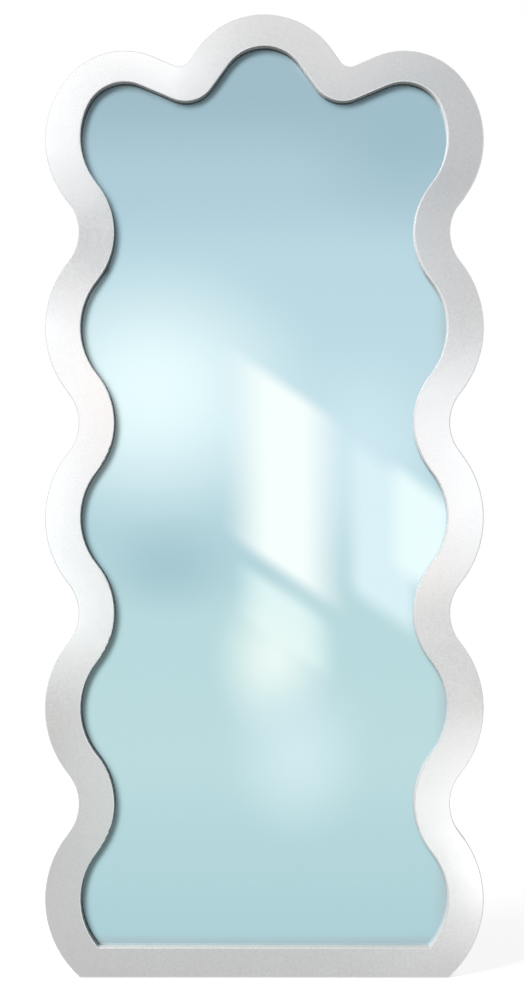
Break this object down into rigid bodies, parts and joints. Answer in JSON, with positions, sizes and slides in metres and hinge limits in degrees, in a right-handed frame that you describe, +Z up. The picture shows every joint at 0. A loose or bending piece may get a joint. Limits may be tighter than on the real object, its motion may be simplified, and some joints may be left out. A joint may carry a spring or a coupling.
{
  "type": "wall mirror",
  "caption": "Tall scalloped wall mirror with a wide flat satin silver frame, recessed glass, flat bottom edge and a screwed back with swinging hanging rings.",
  "frame": {"origin": "middle of the bottom edge, half way through the depth from the front face to the wall", "axes": "+Z up along the height, +Y from the front towards the wall, +X to the right seen from the front"},
  "size_m": [0.752, 0.033, 1.65],
  "materials": {
    "frame": "satin silver lacquer on routed fibreboard",
    "mirror": "silvered glass, clear and flat",
    "film": "grey film",
    "foam": "white foam",
    "block": "black rubber",
    "board": "raw hardboard",
    "screw": "zinc plated",
    "bumper": "matt rubber",
    "strap": "zinc plated sheet",
    "ring": "zinc plated wire"
  },
  "bodies": {
    "frame": {"frame_ring": "frame", "mirror_glass": "mirror", "safety_film": "film", "foam_tapes": "foam", "setting_blocks": "block", "backing_board": "board", "board_screws": "screw", "hanger_screws": "screw", "wall_bumpers": "bumper", "hanger_strap_left": "strap", "hanger_strap_right": "strap"},
    "ring_left": {"d_ring_left": "ring"},
    "ring_right": {"d_ring_right": "ring"}
  },
  "joints": [
    {"name": "ring_swing_left", "type": "hinge", "parent": "frame", "child": "ring_left", "pos_m": [-0.357, 0.0116, 1.46365], "axis": [1, 0, 0], "range_deg": [0, 182]},
    {"name": "ring_swing_right", "type": "hinge", "parent": "frame", "child": "ring_right", "pos_m": [0.357, 0.0116, 1.46365], "axis": [1, 0, 0], "range_deg": [0, 182]}
  ]
}
